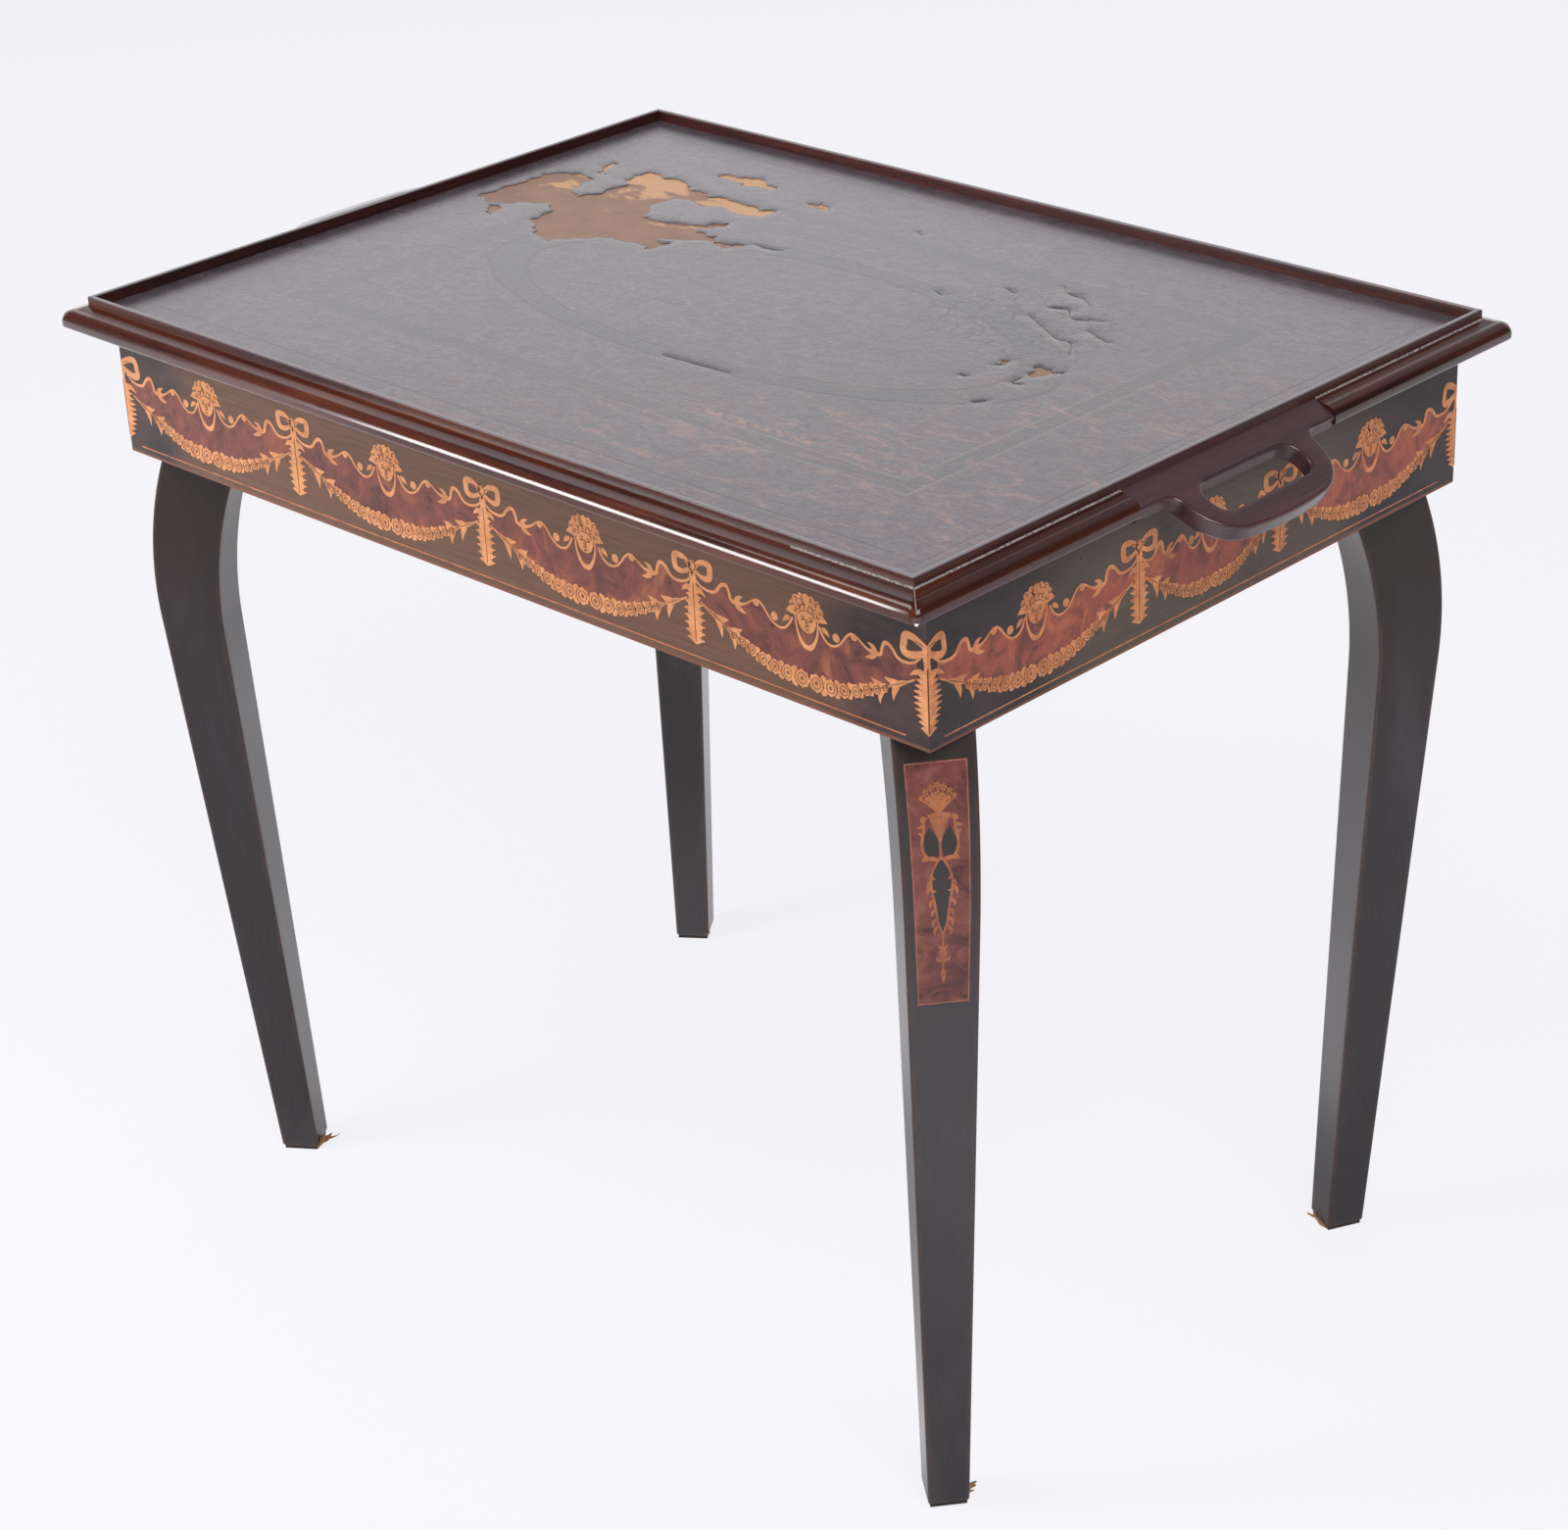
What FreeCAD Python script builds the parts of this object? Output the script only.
import FreeCAD, Part
import Sketcher
import math
import os
import re

# Games table with a lift-off tray: a veneered box on four diagonal legs, and a tray with a raised
# lip, a moulded edge and two loop handles. Millimetres, +Z up, origin on the floor under the middle
# of the table, X along the long side, front towards -Y.

SIZES = {
    # Whole table
    "table_height": "720",
    "base_length": "784",
    "base_width": "536",
    "frieze_height": "100",
    "tray_end_overhang": "6.5",
    "tray_side_overhang": "16.5",
    # Tray board, lip and moulded edge
    "tray_edge": "21.5",
    "lip_rise": "8.5",
    "lip_thickness": "4",
    "tray_veneer": "1",
    "moulding_height": "14.4",
    "moulding_projection": "16.6",
    "moulding_fall": "2.2",
    "moulding_flat": "1.8",
    "moulding_chamfer": "2",
    # Handles
    # The left one slopes less than the right one, and reaches as far out
    "handle_tilt_left": "12.7",
    "handle_tilt_right": "27",
    "block_shoulder": "21.6",
    "handle_gap": "0.2",
    "loop_width": "134",
    "loop_reach_left": "59",
    "loop_reach_right": "65",
    "loop_bulge": "2",
    "neck_radius": "9.4",
    "grip_width": "19",
    "grip_side": "20",
    "slot_setback": "0.9",
    "slot_end_flat": "3.5",
    "handle_edge_radius": "2.5",
    "dowel_diameter": "6",
    "dowel_in_board": "25",
    "dowel_in_handle": "9",
    "dowel_spacing": "130",
    "dowel_clearance": "0.1",
    # Battens under the tray
    "batten_width": "18",
    "batten_height": "12",
    "batten_clearance": "1.5",
    "batten_corner_gap": "90",
    # Box
    "rail_thickness": "17",
    "frieze_veneer": "1",
    "tongue_thickness": "7",
    "tongue_length": "7",
    "tongue_clearance": "0.1",
    "block_size": "84",
    "block_height": "30",
    "bearer_width": "16",
    "bearer_height": "16",
    "floor_thickness": "8",
    "floor_clearance": "0.5",
    "board_thickness": "4",
    "bar_width": "32",
    "bar_height": "12",
    # Legs
    "foot_setback": "51",
    "foot_depth": "29.5",
    "foot_width": "28.5",
    "knee_drop": "128.5",
    "knee_setback": "11",
    "knee_radius": "300",
    "hollow_drop": "143.5",
    "hollow_setback": "58",
    "hollow_radius": "300",
    "leg_top_width": "52.5",
    "tenon_diameter": "26",
    "tenon_length": "28",
    "tenon_clearance": "0.15",
    "panel_drop": "16.5",
    "panel_below_knee": "53",
    "panel_margin": "6.2",
    "panel_thickness": "1",
    "pad_thickness": "2",
    "pad_inset": "1.5",
    # Angles by which the legs have turned about their tenons, anticlockwise seen from above
    "leg_turn_front_left": "-10",
    "leg_turn_front_right": "6.5",
    "leg_turn_back_right": "18",
    "leg_turn_back_left": "-9",
    # Screws in the floor and in the battens
    "screw_diameter": "4",
    "screw_head_diameter": "8",
    "screw_head_height": "2.5",
    "screw_clearance": "0.1",
    "screw_cover": "3",
    "floor_screw_inset": "96",
    "batten_screw_inset": "40",
}

doc = FreeCAD.newDocument("games_table")
sheet = doc.addObject("Spreadsheet::Sheet", "sizes")
for row, (alias, text) in enumerate(SIZES.items(), start=1):
    sheet.set(f"A{row}", text)
    sheet.setAlias(f"A{row}", alias)
doc.recompute()

# Heights and distances that several pieces share
WALL = "(rail_thickness + frieze_veneer)"
TRAY_UNDERSIDE = "(table_height - tray_edge)"
FRIEZE_BOTTOM = "(table_height - tray_edge - frieze_height)"
BOARD_TOP = "(table_height - lip_rise - tray_veneer)"
FLOOR_UNDERSIDE = "(table_height - tray_edge - frieze_height + block_height)"
FLOOR_TOP = f"({FLOOR_UNDERSIDE} + floor_thickness)"
GAMES_TOP = f"({FLOOR_TOP} + board_thickness)"
TRAY_X = "(base_length / 2 + tray_end_overhang)"
TRAY_Y = "(base_width / 2 + tray_side_overhang)"

ALIAS = re.compile(r"\b(" + "|".join(SIZES) + r")\b")


def bound(expression):
    """The expression with every size name pointed at its cell."""
    return ALIAS.sub(r"sizes.\1", str(expression))


def number(expression):
    """The value of an expression at the sheet's present sizes."""
    value = sheet.evalExpression(bound(expression))
    return float(getattr(value, "Value", value))


def new_body(label, x="0", y="0", z="0", turn=0):
    """An empty body whose own frame stands at x, y, z and is turned about Z."""
    body = doc.addObject("PartDesign::Body", label)
    body.Label = label
    body.Placement.Rotation = FreeCAD.Rotation(FreeCAD.Vector(0, 0, 1), turn)
    for axis, distance in zip("xyz", (x, y, z)):
        body.setExpression(f"Placement.Base.{axis}", bound(distance))
    return body


def new_sketch(body, role, offset="0"):
    """A sketch on one of the body's own planes, moved along the plane's normal by offset."""
    sketch = body.newObject("Sketcher::SketchObject", f"{body.Name}_sketch")
    plane = next(item for item in body.Origin.OriginFeatures if item.Role == role)
    sketch.AttachmentSupport = [(plane, "")]
    sketch.MapMode = "FlatFace"
    sketch.setExpression("AttachmentOffset.Base.z", bound(offset))
    return sketch


def hold(sketch, kind, expression, *where):
    """Adds one dimension to the sketch and binds it to the sheet."""
    index = sketch.addConstraint(Sketcher.Constraint(kind, *where, number(expression)))
    name = f"{kind}{index}"
    sketch.renameConstraint(index, name)
    sketch.setExpression(f"Constraints.{name}", bound(expression))


def arc_between(start, end, radius, turn):
    """The shorter arc from start to end, anticlockwise for turn 1 and clockwise for turn -1."""
    chord = end - start
    side = FreeCAD.Vector(-chord.y, chord.x, 0) * (turn / chord.Length)
    centre = (start + end) * 0.5 + side * math.sqrt(radius ** 2 - chord.Length ** 2 / 4)
    first, last = (start, end) if turn > 0 else (end, start)
    angles = [math.atan2(p.y - centre.y, p.x - centre.x) for p in (first, last)]
    return Part.ArcOfCircle(Part.Circle(centre, FreeCAD.Vector(0, 0, 1), radius), *angles)


def trace(sketch, path):
    """A closed outline through the vertices of path, each held by its distances from the origin.
    A vertex (x, y) is reached by a straight edge, and (x, y, radius, turn) by an arc."""
    points = [FreeCAD.Vector(number(vertex[0]), number(vertex[1]), 0) for vertex in path]
    edges = []
    for index, vertex in enumerate(path):
        start, end = points[index - 1], points[index]
        if len(vertex) == 2:
            edges.append((sketch.addGeometry(Part.LineSegment(start, end)), 1, 2))
        else:
            curve = arc_between(start, end, number(vertex[2]), vertex[3])
            ends = (1, 2) if vertex[3] > 0 else (2, 1)
            edges.append((sketch.addGeometry(curve), *ends))
    for index, (edge, _, finish) in enumerate(edges):
        following, following_begin, _ = edges[(index + 1) % len(edges)]
        sketch.addConstraint(Sketcher.Constraint("Coincident", edge, finish, following, following_begin))
        hold(sketch, "DistanceX", path[index][0], -1, 1, edge, finish)
        hold(sketch, "DistanceY", path[index][1], -1, 1, edge, finish)
        if len(path[index]) == 4:
            hold(sketch, "Radius", path[index][2], edge)


def rectangle(sketch, x0, x1, y0, y1):
    trace(sketch, [(x0, y0), (x1, y0), (x1, y1), (x0, y1)])


def circles(sketch, places, diameter):
    """One circle at each place."""
    for x, y in places:
        centre = FreeCAD.Vector(number(x), number(y), 0)
        ring = sketch.addGeometry(Part.Circle(centre, FreeCAD.Vector(0, 0, 1), number(diameter) / 2))
        hold(sketch, "DistanceX", x, -1, 1, ring, 3)
        hold(sketch, "DistanceY", y, -1, 1, ring, 3)
        hold(sketch, "Diameter", diameter, ring)


def extrude(body, sketch, kind, length, both_ways=False, backwards=False):
    """A Pad or Pocket of the sketch, as long as length."""
    feature = body.newObject(f"PartDesign::{kind}", f"{body.Name}_{kind}")
    feature.Profile = sketch
    feature.setExpression("Length", bound(length))
    feature.SideType = "Symmetric" if both_ways else "One side"
    feature.Reversed = backwards
    return feature


def cut_through(body, sketch):
    """A Pocket of the sketch through the whole body, both ways."""
    feature = body.newObject("PartDesign::Pocket", f"{body.Name}_cut")
    feature.Profile = sketch
    feature.Type = "ThroughAll"
    feature.SideType = "Symmetric"
    return feature


def slab(label, x0, x1, y0, y1, z0, z1):
    """A plain board between the given planes."""
    body = new_body(label, z=z0)
    sketch = new_sketch(body, "XY_Plane")
    rectangle(sketch, x0, x1, y0, y1)
    extrude(body, sketch, "Pad", f"{z1} - {z0}")
    return body


def prism(label, outline, z0, z1):
    """A piece of constant plan between two heights."""
    body = new_body(label, z=z0)
    sketch = new_sketch(body, "XY_Plane")
    trace(sketch, outline)
    extrude(body, sketch, "Pad", f"{z1} - {z0}")
    return body


def bore(body, height, places, diameter, depth, upwards):
    """Round holes at places, sunk from the given height of the body's own frame."""
    sketch = new_sketch(body, "XY_Plane", height)
    circles(sketch, places, diameter)
    extrude(body, sketch, "Pocket", depth, backwards=upwards)


def mitred(label, half_length, outer, inner, side, z0, z1):
    """A strip along X with both ends mitred, from its inner to its outer line, on one side of Y."""
    fall = f"({outer} - {inner})"
    outline = [
        (f"-{half_length}", f"{side} * {outer}"),
        (f"{half_length}", f"{side} * {outer}"),
        (f"{half_length} - {fall}", f"{side} * {inner}"),
        (f"-{half_length} + {fall}", f"{side} * {inner}"),
    ]
    return prism(label, outline, z0, z1)


def mitred_end(label, half_width, outer, inner, side, z0, z1):
    """The same strip along Y, on one side of X."""
    fall = f"({outer} - {inner})"
    outline = [
        (f"{side} * {outer}", f"-{half_width}"),
        (f"{side} * {outer}", f"{half_width}"),
        (f"{side} * {inner}", f"{half_width} - {fall}"),
        (f"{side} * {inner}", f"-{half_width} + {fall}"),
    ]
    return prism(label, outline, z0, z1)


FRONT_BACK = (("front", -1), ("back", 1))
LEFT_RIGHT = (("left", -1), ("right", 1))
# Corner name, sign of X, sign of Y, turn that carries the corner at -X -Y to it
CORNERS = (
    ("front_left", -1, -1, 0),
    ("front_right", 1, -1, 90),
    ("back_right", 1, 1, 180),
    ("back_left", -1, 1, 270),
)
# Turn that points the X axis of a leg's frame outwards along the diagonal at the corner -X -Y
DIAGONAL_ANGLE = 225
parts = []

# Rails: the two long ones run through and are grooved near their ends for the tongues of the short ones
half_length = "(base_length / 2 - frieze_veneer)"
outer_y = "(base_width / 2 - frieze_veneer)"
inner_y = f"(base_width / 2 - {WALL})"
tongue_middle = f"({half_length} - rail_thickness / 2)"
groove_half = "(tongue_thickness / 2 + tongue_clearance)"
groove_floor = f"({inner_y} + tongue_length + tongue_clearance)"
for place, side in FRONT_BACK:
    rail = [
        (f"-{half_length}", f"{side} * {outer_y}"),
        (half_length, f"{side} * {outer_y}"),
        (half_length, f"{side} * {inner_y}"),
        (f"{tongue_middle} + {groove_half}", f"{side} * {inner_y}"),
        (f"{tongue_middle} + {groove_half}", f"{side} * {groove_floor}"),
        (f"{tongue_middle} - {groove_half}", f"{side} * {groove_floor}"),
        (f"{tongue_middle} - {groove_half}", f"{side} * {inner_y}"),
        (f"-{tongue_middle} + {groove_half}", f"{side} * {inner_y}"),
        (f"-{tongue_middle} + {groove_half}", f"{side} * {groove_floor}"),
        (f"-{tongue_middle} - {groove_half}", f"{side} * {groove_floor}"),
        (f"-{tongue_middle} - {groove_half}", f"{side} * {inner_y}"),
        (f"-{half_length}", f"{side} * {inner_y}"),
    ]
    parts.append(prism(f"rail_{place}", rail, FRIEZE_BOTTOM, TRAY_UNDERSIDE))

outer_x = half_length
inner_x = f"(base_length / 2 - {WALL})"
tongue_half = "(tongue_thickness / 2)"
tongue_end = f"({inner_y} + tongue_length)"
for place, side in LEFT_RIGHT:
    rail = [
        (f"{side} * {outer_x}", f"-{inner_y}"),
        (f"{side} * ({tongue_middle} + {tongue_half})", f"-{inner_y}"),
        (f"{side} * ({tongue_middle} + {tongue_half})", f"-{tongue_end}"),
        (f"{side} * ({tongue_middle} - {tongue_half})", f"-{tongue_end}"),
        (f"{side} * ({tongue_middle} - {tongue_half})", f"-{inner_y}"),
        (f"{side} * {inner_x}", f"-{inner_y}"),
        (f"{side} * {inner_x}", inner_y),
        (f"{side} * ({tongue_middle} - {tongue_half})", inner_y),
        (f"{side} * ({tongue_middle} - {tongue_half})", tongue_end),
        (f"{side} * ({tongue_middle} + {tongue_half})", tongue_end),
        (f"{side} * ({tongue_middle} + {tongue_half})", inner_y),
        (f"{side} * {outer_x}", inner_y),
    ]
    parts.append(prism(f"rail_{place}", rail, FRIEZE_BOTTOM, TRAY_UNDERSIDE))

# Frieze veneers on the outer faces of the rails, mitred at the corners
for place, side in FRONT_BACK:
    parts.append(mitred(f"frieze_veneer_{place}", "base_length / 2", "base_width / 2", outer_y, side,
                        FRIEZE_BOTTOM, TRAY_UNDERSIDE))
for place, side in LEFT_RIGHT:
    parts.append(mitred_end(f"frieze_veneer_{place}", "base_width / 2", "base_length / 2", outer_x, side,
                            FRIEZE_BOTTOM, TRAY_UNDERSIDE))

# Legs: one sawn curve on the diagonal, tapered in width, with a round tenon. The outer face runs
# straight from the foot to the knee and turns in on an arc, and the inner face follows it.
knee_height = f"({FRIEZE_BOTTOM} - knee_drop)"
knee_slope = f"atan((foot_setback - knee_setback) / ({knee_height} - pad_thickness))"
knee_centre_x = f"(-knee_setback - knee_radius * cos({knee_slope}))"
knee_centre_z = f"({knee_height} + knee_radius * sin({knee_slope}))"
hollow_height = f"({FRIEZE_BOTTOM} - hollow_drop)"
hollow_slope = f"atan((foot_setback + foot_depth - hollow_setback) / ({hollow_height} - pad_thickness))"
hollow_centre_x = f"(-hollow_setback - hollow_radius * cos({hollow_slope}))"
hollow_centre_z = f"({hollow_height} + hollow_radius * sin({hollow_slope}))"


def on_arc(centre_x, centre_z, radius, z):
    """Distance along the diagonal of the outer side of an upright arc at height z."""
    return f"({centre_x} + sqrt({radius} ^ 2 - ({z} - {centre_z}) ^ 2))"


leg_top_outer = on_arc(knee_centre_x, knee_centre_z, "knee_radius", FRIEZE_BOTTOM)
leg_top_inner = on_arc(hollow_centre_x, hollow_centre_z, "hollow_radius", FRIEZE_BOTTOM)
tenon_middle = f"(({leg_top_outer} + {leg_top_inner}) / 2)"
leg_widening = f"((leg_top_width - foot_width) / ({FRIEZE_BOTTOM} - pad_thickness))"
panel_top = f"({FRIEZE_BOTTOM} - panel_drop)"
panel_bottom = f"({knee_height} - panel_below_knee)"
panel_top_outer = on_arc(knee_centre_x, knee_centre_z, "knee_radius", panel_top)
panel_bottom_outer = f"(-knee_setback - panel_below_knee * tan({knee_slope}))"


def leg_half_width(z):
    """Half the width of the leg at height z."""
    return f"(foot_width / 2 + ({z} - pad_thickness) * {leg_widening} / 2)"


def new_leg_body(label, corner, sign_x, sign_y, turn):
    """An empty body in a leg's own frame, which stands under the corner of the frieze with X pointing
    outwards along the diagonal, and is then turned about the tenon by that leg's own angle."""
    straight = turn + DIAGONAL_ANGLE
    turned = f"({straight} + leg_turn_{corner})"
    x = f"{sign_x} * base_length / 2 + {tenon_middle} * (cos({straight} * 1 deg) - cos({turned} * 1 deg))"
    y = f"{sign_y} * base_width / 2 + {tenon_middle} * (sin({straight} * 1 deg) - sin({turned} * 1 deg))"
    return new_body(label, x, y, turn=number(turned))


def make_leg_blank(corner, sign_x, sign_y, turn):
    """The leg before its recess is cut."""
    leg = new_leg_body(f"leg_blank_{corner}", corner, sign_x, sign_y, turn)
    side_view = new_sketch(leg, "XZ_Plane")
    trace(side_view, [
        ("-foot_setback - foot_depth", "pad_thickness"),
        ("-foot_setback", "pad_thickness"),
        ("-knee_setback", knee_height),
        (leg_top_outer, FRIEZE_BOTTOM, "knee_radius", 1),
        (leg_top_inner, FRIEZE_BOTTOM),
        ("-hollow_setback", hollow_height, "hollow_radius", -1),
    ])
    extrude(leg, side_view, "Pad", "leg_top_width", both_ways=True)
    for side in (-1, 1):
        waste = new_sketch(leg, "YZ_Plane")
        trace(waste, [
            (f"{side} * foot_width / 2", "pad_thickness"),
            (f"{side} * leg_top_width / 2", FRIEZE_BOTTOM),
            (f"{side} * leg_top_width", FRIEZE_BOTTOM),
            (f"{side} * leg_top_width", "pad_thickness"),
        ])
        cut_through(leg, waste)
    tenon = new_sketch(leg, "XY_Plane", FRIEZE_BOTTOM)
    circles(tenon, [(tenon_middle, "0")], "tenon_diameter")
    extrude(leg, tenon, "Pad", "tenon_length")
    return leg


def make_panel(corner, sign_x, sign_y, turn):
    """Inlaid panel that follows the outer face of the leg and narrows with it."""
    panel = new_leg_body(f"leg_panel_{corner}", corner, sign_x, sign_y, turn)
    side_view = new_sketch(panel, "XZ_Plane")
    trace(side_view, [
        (panel_bottom_outer, panel_bottom),
        ("-knee_setback", knee_height),
        (panel_top_outer, panel_top, "knee_radius", 1),
        (f"{panel_top_outer} - panel_thickness", panel_top),
        ("-knee_setback - panel_thickness", knee_height, "knee_radius", -1),
        (f"{panel_bottom_outer} - panel_thickness", panel_bottom),
    ])
    extrude(panel, side_view, "Pad", "leg_top_width", both_ways=True)
    for side in (-1, 1):
        waste = new_sketch(panel, "YZ_Plane")
        trace(waste, [
            (f"{side} * ({leg_half_width(panel_bottom)} - panel_margin)", panel_bottom),
            (f"{side} * ({leg_half_width(panel_top)} - panel_margin)", panel_top),
            (f"{side} * leg_top_width", panel_top),
            (f"{side} * leg_top_width", panel_bottom),
        ])
        cut_through(panel, waste)
    return panel


for corner, sign_x, sign_y, turn in CORNERS:
    blank = make_leg_blank(corner, sign_x, sign_y, turn)
    panel = make_panel(corner, sign_x, sign_y, turn)
    leg = doc.addObject("Part::Cut", f"leg_{corner}")
    leg.Label = f"leg_{corner}"
    leg.Base = blank
    leg.Tool = panel
    pad = new_leg_body(f"foot_pad_{corner}", corner, sign_x, sign_y, turn)
    sketch = new_sketch(pad, "XY_Plane")
    rectangle(sketch, "-foot_setback - foot_depth + pad_inset", "-foot_setback - pad_inset",
              "-foot_width / 2 + pad_inset", "foot_width / 2 - pad_inset")
    extrude(pad, sketch, "Pad", "pad_thickness")
    parts += [leg, panel, pad]

# Corner blocks in the angles of the rails, bored for the tenons of the legs
tenon_in_block = f"(-{tenon_middle} / sqrt(2) - {WALL})"
for corner, sign_x, sign_y, turn in CORNERS:
    block = new_body(f"corner_block_{corner}", f"{sign_x} * {inner_x}", f"{sign_y} * {inner_y}",
                     FRIEZE_BOTTOM, turn)
    sketch = new_sketch(block, "XY_Plane")
    trace(sketch, [("0", "0"), ("block_size", "0"), ("0", "block_size")])
    extrude(block, sketch, "Pad", "block_height")
    bore(block, "0", [(tenon_in_block, tenon_in_block)], "tenon_diameter + 2 * tenon_clearance",
         "block_height", upwards=True)
    parts.append(block)

# Floor of the well: bearers on the rails between the corner blocks, a board screwed down on them,
# the games board on top and the bar that parts its two tables
floor_x = f"({inner_x} - floor_clearance)"
floor_y = f"({inner_y} - floor_clearance)"
bearer_x = f"({inner_x} - block_size)"
bearer_y = f"({inner_y} - block_size)"
bearer_bottom = f"({FLOOR_UNDERSIDE} - bearer_height)"
screw_x = f"({inner_x} - bearer_width / 2)"
screw_y = f"({inner_y} - bearer_width / 2)"
screw_spread = f"({bearer_x} - floor_screw_inset)"
screw_places = {
    place: [(f"{step} * {screw_spread}", f"{side} * {screw_y}") for step in (-1, 0, 1)]
    for place, side in FRONT_BACK
}
screw_places |= {place: [(f"{side} * {screw_x}", "0")] for place, side in LEFT_RIGHT}
all_screws = sum(screw_places.values(), [])
bearer_bite = "(bearer_height - screw_cover)"
pilot = "screw_diameter + 2 * screw_clearance"
counterbore = "screw_head_diameter + 2 * screw_clearance"

for place, side in FRONT_BACK:
    bearer = slab(f"floor_bearer_{place}", f"-{bearer_x}", bearer_x,
                  f"{side} * ({inner_y} - bearer_width)", f"{side} * {inner_y}",
                  bearer_bottom, FLOOR_UNDERSIDE)
    bore(bearer, "bearer_height", screw_places[place], pilot, f"{bearer_bite} + screw_clearance",
         upwards=False)
    parts.append(bearer)
for place, side in LEFT_RIGHT:
    bearer = slab(f"floor_bearer_{place}",
                  f"{side} * ({inner_x} - bearer_width)", f"{side} * {inner_x}",
                  f"-{bearer_y}", bearer_y, bearer_bottom, FLOOR_UNDERSIDE)
    bore(bearer, "bearer_height", screw_places[place], pilot, f"{bearer_bite} + screw_clearance",
         upwards=False)
    parts.append(bearer)

floor = slab("well_floor", f"-{floor_x}", floor_x, f"-{floor_y}", floor_y, FLOOR_UNDERSIDE, FLOOR_TOP)
bore(floor, "0", all_screws, pilot, "floor_thickness", upwards=True)
bore(floor, "floor_thickness", all_screws, counterbore, "screw_head_height", upwards=False)
games_board = slab("games_board", f"-{floor_x}", floor_x, f"-{floor_y}", floor_y, FLOOR_TOP, GAMES_TOP)
bar = slab("games_bar", "-bar_width / 2", "bar_width / 2", f"-{floor_y}", floor_y,
           GAMES_TOP, f"({GAMES_TOP} + bar_height)")
parts += [floor, games_board, bar]


def make_screws(label, places, head_face, length, upwards):
    """Cheese-headed screws with their head faces at one height, pointing up or down from it."""
    screws = []
    for index, (x, y) in enumerate(places):
        pieces = []
        for part, diameter, depth in (("head", "screw_head_diameter", "screw_head_height"),
                                      ("shank", "screw_diameter", length)):
            cylinder = doc.addObject("Part::Cylinder", f"{label}_{part}_{index}")
            cylinder.setExpression("Radius", bound(f"({diameter}) / 2"))
            cylinder.setExpression("Height", bound(depth))
            cylinder.setExpression("Placement.Base.x", bound(x))
            cylinder.setExpression("Placement.Base.y", bound(y))
            start = head_face if upwards else f"{head_face} - ({depth})"
            cylinder.setExpression("Placement.Base.z", bound(start))
            pieces.append(cylinder)
        screw = doc.addObject("Part::Fuse", f"{label}_{index}")
        screw.Base, screw.Tool = pieces
        screws.append(screw)
    group = doc.addObject("Part::Compound", label)
    group.Label = label
    group.Links = screws
    return group


parts.append(make_screws("floor_screws", all_screws, FLOOR_TOP, f"floor_thickness + {bearer_bite}",
                         upwards=False))

# Tray: board, veneer and mitred lip strips
lip_x = f"({TRAY_X} - lip_thickness)"
lip_y = f"({TRAY_Y} - lip_thickness)"
slopes = {place: f"(handle_tilt_{place} * 1deg)" for place, side in LEFT_RIGHT}
dowel_heights = {
    side: f"({TRAY_UNDERSIDE} + moulding_height / 2 - dowel_in_handle / 2 * tan({slopes[place]}))"
    for place, side in LEFT_RIGHT
}
dowel_places = [(side, step) for side in (-1, 1) for step in (-1, 1)]
batten_x = f"({inner_x} - batten_clearance)"
batten_y = f"({inner_y} - batten_clearance)"
batten_end_x = f"({inner_x} - batten_corner_gap)"
batten_end_y = f"({inner_y} - batten_corner_gap)"
batten_bottom = f"({TRAY_UNDERSIDE} - batten_height)"
batten_line_x = f"({batten_x} - batten_width / 2)"
batten_line_y = f"({batten_y} - batten_width / 2)"
batten_spread_x = f"({batten_end_x} - batten_screw_inset)"
batten_spread_y = f"({batten_end_y} - batten_screw_inset)"
batten_screw_places = {
    place: [(f"{step} * {batten_spread_x}", f"{side} * {batten_line_y}") for step in (-1, 0, 1)]
    for place, side in FRONT_BACK
}
batten_screw_places |= {
    place: [(f"{side} * {batten_line_x}", f"{step} * {batten_spread_y}") for step in (-1, 1)]
    for place, side in LEFT_RIGHT
}
all_batten_screws = sum(batten_screw_places.values(), [])
board_bite = f"({BOARD_TOP} - {TRAY_UNDERSIDE} - screw_cover)"


def make_dowels(prefix, diameter, extra):
    """Level dowels across the joint of board and handle, longer at both ends by extra."""
    dowels = []
    for index, (side, step) in enumerate(dowel_places):
        dowel = doc.addObject("Part::Cylinder", f"{prefix}_{index}")
        dowel.Placement.Rotation = FreeCAD.Rotation(FreeCAD.Vector(0, 1, 0), 90)
        dowel.setExpression("Radius", bound(f"({diameter}) / 2"))
        dowel.setExpression("Height", bound(f"dowel_in_board + dowel_in_handle + 2 * ({extra})"))
        near_end = "dowel_in_board" if side > 0 else "dowel_in_handle"
        dowel.setExpression("Placement.Base.x", bound(f"{side} * {TRAY_X} - {near_end} - ({extra})"))
        dowel.setExpression("Placement.Base.y", bound(f"{step} * dowel_spacing / 2"))
        dowel.setExpression("Placement.Base.z", bound(dowel_heights[side]))
        dowels.append(dowel)
    group = doc.addObject("Part::Compound", prefix)
    group.Label = prefix
    group.Links = dowels
    return group


dowels = make_dowels("handle_dowels", "dowel_diameter", "0")
dowel_bores = make_dowels("dowel_bores", "dowel_diameter + 2 * dowel_clearance", "dowel_clearance")

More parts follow.
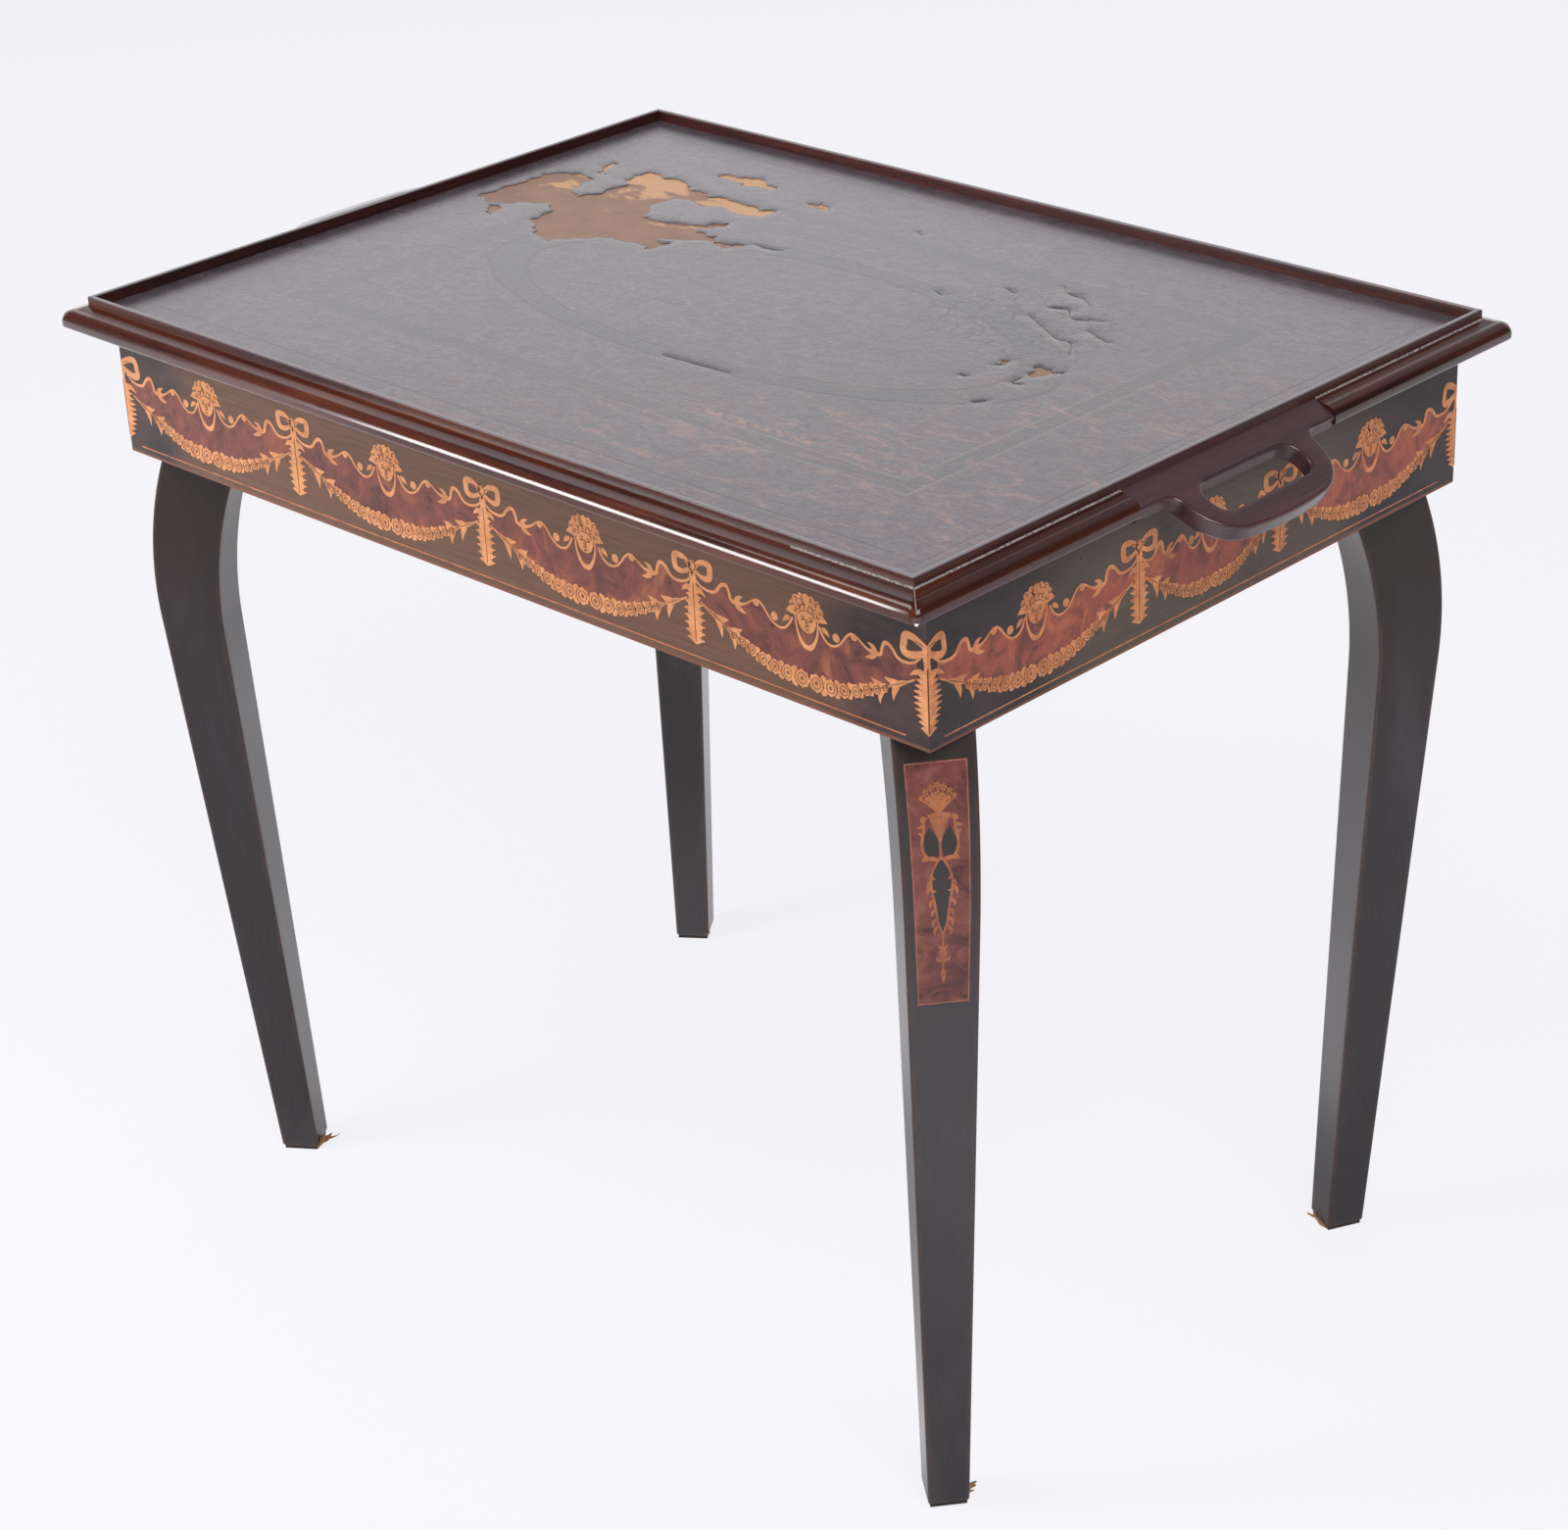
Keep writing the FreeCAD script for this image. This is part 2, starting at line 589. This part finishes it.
board = slab("tray_board_blank", f"-{TRAY_X}", TRAY_X, f"-{TRAY_Y}", TRAY_Y, TRAY_UNDERSIDE, BOARD_TOP)
bore(board, "0", all_batten_screws, pilot, f"{board_bite} + screw_clearance", upwards=True)
tray_board = doc.addObject("Part::Cut", "tray_board")
tray_board.Label = "tray_board"
tray_board.Base = board
tray_board.Tool = dowel_bores
veneer = slab("tray_veneer_sheet", f"-{lip_x}", lip_x, f"-{lip_y}", lip_y, BOARD_TOP,
              f"({BOARD_TOP} + tray_veneer)")
parts += [tray_board, veneer, dowels]
for place, side in FRONT_BACK:
    parts.append(mitred(f"tray_lip_{place}", TRAY_X, TRAY_Y, lip_y, side, BOARD_TOP, "table_height"))
for place, side in LEFT_RIGHT:
    parts.append(mitred_end(f"tray_lip_{place}", TRAY_Y, TRAY_X, lip_x, side, BOARD_TOP, "table_height"))

# Moulded edge: a sloping top, a quarter-round nose and a chamfer below, mitred at the corners
edge_x = f"({TRAY_X} + moulding_projection)"
edge_y = f"({TRAY_Y} + moulding_projection)"
nose_top = "(moulding_height - moulding_fall)"
nose_foot = "(moulding_chamfer + moulding_flat)"
nose_radius = f"({nose_top} - {nose_foot})"
loop_half = "(loop_width / 2)"
neck_y = f"({loop_half} + neck_radius)"
block_half = f"({neck_y} + block_shoulder)"


def moulding_profile(out):
    """Section of the moulding, with out turning a projection into a sketch coordinate."""
    turn = 1 if number(out("1")) > number(out("0")) else -1
    return [
        (out("0"), "0"),
        (out("moulding_projection - moulding_chamfer"), "0"),
        (out("moulding_projection"), "moulding_chamfer"),
        (out("moulding_projection"), nose_foot),
        (out(f"moulding_projection - {nose_radius}"), nose_top, nose_radius, turn),
        (out("0"), "moulding_height"),
    ]


def mitre(body, corner_x, corner_y, sign_x, sign_y, keep_long):
    """Cuts one end of a moulding to the mitre line that leaves the corner of the tray board."""
    sketch = new_sketch(body, "XY_Plane")
    near = (f"{sign_x} * {corner_x}", f"{sign_y} * {corner_y}")
    far = (f"{sign_x} * ({corner_x} + 2 * moulding_projection)",
           f"{sign_y} * ({corner_y} + 2 * moulding_projection)")
    third = (far[0], near[1]) if keep_long else (near[0], far[1])
    trace(sketch, [near, far, third])
    cut_through(body, sketch)


for place, side in FRONT_BACK:
    moulding = new_body(f"moulding_{place}", z=TRAY_UNDERSIDE)
    section = new_sketch(moulding, "YZ_Plane")
    trace(section, moulding_profile(lambda reach, side=side: f"{side} * ({TRAY_Y} + {reach})"))
    extrude(moulding, section, "Pad", f"2 * {edge_x}", both_ways=True)
    for end in (-1, 1):
        mitre(moulding, TRAY_X, TRAY_Y, end, side, keep_long=True)
    parts.append(moulding)
for place, side in LEFT_RIGHT:
    for half, end in FRONT_BACK:
        moulding = new_body(f"moulding_{place}_{half}", z=TRAY_UNDERSIDE)
        section = new_sketch(moulding, "XZ_Plane", f"{-end} * ({block_half} + handle_gap)")
        trace(section, moulding_profile(lambda reach, side=side: f"{side} * ({TRAY_X} + {reach})"))
        extrude(moulding, section, "Pad", f"{edge_y} - {block_half} - handle_gap", backwards=end > 0)
        mitre(moulding, TRAY_X, TRAY_Y, side, end, keep_long=False)
        parts.append(moulding)

# Handles: a block in the gap of the moulding and a D-shaped loop that slopes down from it. The plan
# is drawn on the sloping upper face, X down the slope from the lip, and the inner end is cut plumb.
EDGE_POINTS = 5
EDGE_TOLERANCE = 0.01


def soften(handle, solid, tilt_size, block_depth, handle_thickness):
    """Rounds the edges of the loop and of the slot on the upper and lower faces."""
    tilt = math.radians(number(tilt_size))
    down_slope = FreeCAD.Vector(math.cos(tilt), 0, -math.sin(tilt))
    faces = (0, -number(handle_thickness))
    normal = FreeCAD.Vector(math.sin(tilt), 0, math.cos(tilt))
    names = []
    for index, edge in enumerate(solid.Shape.Edges, start=1):
        points = edge.discretize(EDGE_POINTS)
        outside = min(point.dot(down_slope) for point in points) > number(block_depth) - EDGE_TOLERANCE
        heights = [point.dot(normal) for point in points]
        on_face = any(all(abs(height - face) < EDGE_TOLERANCE for height in heights) for face in faces)
        if outside and on_face:
            names.append(f"Edge{index}")
    fillet = handle.newObject("PartDesign::Fillet", f"{handle.Name}_fillet")
    fillet.Base = (solid, names)
    fillet.setExpression("Radius", bound("handle_edge_radius"))


def make_handle(place, side):
    """One handle in its own frame, X outwards from the edge of the tray board."""
    loop_reach = f"loop_reach_{place}"
    block_depth = f"(moulding_projection / cos({slopes[place]}))"
    loop_shoulder = f"({block_depth} + neck_radius)"
    front_depth = f"({loop_reach} - {loop_shoulder})"
    corner_radius = f"({front_depth} - loop_bulge)"
    corner_offset = f"({loop_half} - {corner_radius})"
    front_radius = f"(({front_depth} ^ 2 + {corner_offset} ^ 2 - {corner_radius} ^ 2) / (2 * loop_bulge))"
    front_share = f"({front_radius} / ({front_radius} - {corner_radius}))"
    front_end_x = f"({loop_reach} - {front_radius} + ({front_radius} - {front_depth}) * {front_share})"
    front_end_y = f"({corner_offset} * {front_share})"
    slot_start = f"({block_depth} + slot_setback)"
    slot_end = f"({loop_reach} - grip_width)"
    slot_half = f"({loop_half} - grip_side)"
    slot_radius = f"(({slot_end} - {slot_start} - slot_end_flat) / 2)"
    slot_bend_x = (f"({slot_start} + {slot_radius})", f"({slot_end} - {slot_radius})")
    slot_bend_y = f"({slot_half} - {slot_radius})"
    handle_thickness = f"(moulding_height * cos({slopes[place]}))"
    handle = new_body(f"handle_blank_{place}", f"{side} * {TRAY_X}", "0",
                      f"({TRAY_UNDERSIDE} + moulding_height)", 0 if side > 0 else 180)
    plan = new_sketch(handle, "XY_Plane")
    plan.AttachmentOffset = FreeCAD.Placement(FreeCAD.Vector(), FreeCAD.Rotation(FreeCAD.Vector(0, 1, 0), 1))
    plan.setExpression("AttachmentOffset.Rotation.Angle", bound(slopes[place]))
    trace(plan, [
        ("0", f"-{block_half}"),
        (block_depth, f"-{block_half}"),
        (block_depth, f"-{neck_y}"),
        (loop_shoulder, f"-{loop_half}", "neck_radius", -1),
        (front_end_x, f"-{front_end_y}", corner_radius, 1),
        (front_end_x, front_end_y, front_radius, 1),
        (loop_shoulder, loop_half, corner_radius, 1),
        (block_depth, neck_y, "neck_radius", -1),
        (block_depth, block_half),
        ("0", block_half),
    ])
    trace(plan, [
        (slot_bend_x[0], f"-{slot_half}", slot_radius, 1),
        (slot_bend_x[1], f"-{slot_half}"),
        (slot_end, f"-{slot_bend_y}", slot_radius, 1),
        (slot_end, slot_bend_y),
        (slot_bend_x[1], slot_half, slot_radius, 1),
        (slot_bend_x[0], slot_half),
        (slot_start, slot_bend_y, slot_radius, 1),
        (slot_start, f"-{slot_bend_y}"),
    ])
    extrude(handle, plan, "Pad", handle_thickness, backwards=True)
    plumb = new_sketch(handle, "XZ_Plane")
    rectangle(plumb, "-moulding_height", "0", "-2 * moulding_height", "moulding_height")
    trimmed = cut_through(handle, plumb)
    doc.recompute()
    soften(handle, trimmed, f"handle_tilt_{place}", block_depth, handle_thickness)
    return handle


for place, side in LEFT_RIGHT:
    handle = doc.addObject("Part::Cut", f"handle_{place}")
    handle.Label = f"handle_{place}"
    handle.Base = make_handle(place, side)
    handle.Tool = dowel_bores
    parts.append(handle)

# Battens under the tray, which drop between the rails
for place, side in FRONT_BACK:
    batten = slab(f"tray_batten_{place}", f"-{batten_end_x}", batten_end_x,
                  f"{side} * ({batten_y} - batten_width)", f"{side} * {batten_y}",
                  batten_bottom, TRAY_UNDERSIDE)
    bore(batten, "0", batten_screw_places[place], pilot, "batten_height", upwards=True)
    bore(batten, "0", batten_screw_places[place], counterbore, "screw_head_height", upwards=True)
    parts.append(batten)
for place, side in LEFT_RIGHT:
    batten = slab(f"tray_batten_{place}",
                  f"{side} * ({batten_x} - batten_width)", f"{side} * {batten_x}",
                  f"-{batten_end_y}", batten_end_y, batten_bottom, TRAY_UNDERSIDE)
    bore(batten, "0", batten_screw_places[place], pilot, "batten_height", upwards=True)
    bore(batten, "0", batten_screw_places[place], counterbore, "screw_head_height", upwards=True)
    parts.append(batten)
parts.append(make_screws("batten_screws", all_batten_screws, batten_bottom, f"batten_height + {board_bite}",
                         upwards=True))

doc.recompute()
failed = [item.Label for item in doc.Objects if {"Invalid", "Error"} & set(item.State)]
failed += [part.Label for part in parts if part.Shape.isNull() or not part.Shape.isValid()]
if failed:
    raise RuntimeError(f"failed: {failed}")

os.makedirs("parts", exist_ok=True)
for part in parts:
    part.Shape.exportStep(f"parts/{part.Label}.step")
    print(f"{part.Label}: {len(part.Shape.Solids)} solid, {part.Shape.Volume / 1000:.1f} cm3")
